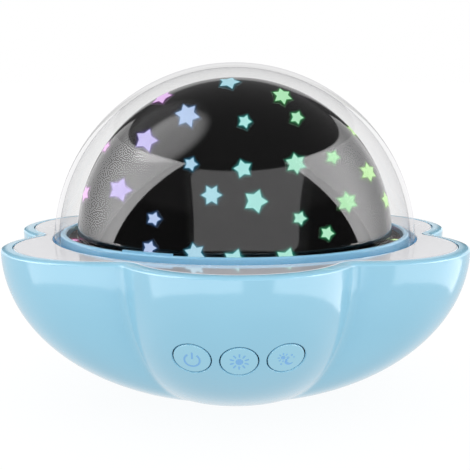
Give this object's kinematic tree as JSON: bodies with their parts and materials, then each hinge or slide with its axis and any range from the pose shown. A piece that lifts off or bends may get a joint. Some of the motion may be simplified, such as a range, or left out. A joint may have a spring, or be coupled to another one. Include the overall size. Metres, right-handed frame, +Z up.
{
  "type": "star night light projector",
  "caption": "Bedside night light: a petal-shaped bowl with push buttons carries a turning black dome with star windows under a lift-off clear dome.",
  "frame": {"origin": "centre of the plane that the feet rest on, below the dome axis", "axes": "+Z up along the dome axis, -Y towards the front petal with the buttons, +X to the viewer's right"},
  "size_m": [0.145, 0.1566, 0.1068],
  "materials": {
    "housing_blue": "gloss moulded",
    "cover_white": "gloss moulded",
    "ring_blue": "satin moulded",
    "clear_plastic": "clear polished plastic",
    "mask_black": "high gloss",
    "milky_plastic": "translucent milky",
    "gear_plastic": "natural acetal",
    "inner_plastic": "moulded",
    "steel": "zinc plated",
    "motor_can": "drawn can",
    "circuit_board": "solder resist",
    "switch_black": "moulded",
    "lamp": "clear lens over phosphor",
    "cell_foil": "foil pouch",
    "rubber": "soft"
  },
  "bodies": {
    "housing": {"lower_housing": "housing_blue", "top_cover": "cover_white", "dome_ring": "ring_blue", "chassis": "inner_plastic", "glide_ring": "gear_plastic", "gear_motor": "motor_can", "motor_bracket": "steel", "motor_screws": "steel", "lamp_column": "inner_plastic", "lamp_board": "circuit_board", "led_lamps": "lamp", "tact_switches": "switch_black", "button_board": "circuit_board", "button_board_screws": "steel", "main_board": "circuit_board", "board_parts": "switch_black", "board_screws": "steel", "battery_tray": "inner_plastic", "battery_cell": "cell_foil", "usb_socket": "steel", "usb_board": "circuit_board", "rubber_feet": "rubber", "ring_screws": "steel"},
    "star_dome": {"star_mask": "mask_black", "diffuser_dome": "milky_plastic", "turntable": "gear_plastic"},
    "drive": {"drive_pinion": "gear_plastic", "motor_shaft": "steel"},
    "hood": {"clear_dome": "clear_plastic"},
    "power_key": {"power_button": "housing_blue", "power_plunger": "switch_black"},
    "brightness_key": {"brightness_button": "housing_blue", "brightness_plunger": "switch_black"},
    "mode_key": {"mode_button": "housing_blue", "mode_plunger": "switch_black"}
  },
  "joints": [
    {"name": "hood_lift", "type": "slide", "parent": "housing", "child": "hood", "axis": [0, 0, 1], "range_m": [0, 0.07]},
    {"name": "star_dome_spin", "type": "hinge", "parent": "housing", "child": "star_dome", "pos_m": [0, 0, 0.05], "axis": [0, 0, 1], "continuous": true},
    {"name": "pinion_spin", "type": "hinge", "parent": "housing", "child": "drive", "pos_m": [0.03507, 0.02025, 0.042], "axis": [0, 0, 1], "continuous": true},
    {"name": "power_press", "type": "slide", "parent": "housing", "child": "power_key", "axis": [0, 0.9903, 0.1392], "range_m": [0, 0.0006], "stiffness_N_per_m": 1500, "springref_m": -0.0005},
    {"name": "brightness_press", "type": "slide", "parent": "housing", "child": "brightness_key", "axis": [0, 0.9903, 0.1392], "range_m": [0, 0.0006], "stiffness_N_per_m": 1500, "springref_m": -0.0005},
    {"name": "mode_press", "type": "slide", "parent": "housing", "child": "mode_key", "axis": [0, 0.9903, 0.1392], "range_m": [0, 0.0006], "stiffness_N_per_m": 1500, "springref_m": -0.0005}
  ],
  "couplings": [
    {"joint": "pinion_spin", "follows": "star_dome_spin", "ratio": 5.5}
  ]
}
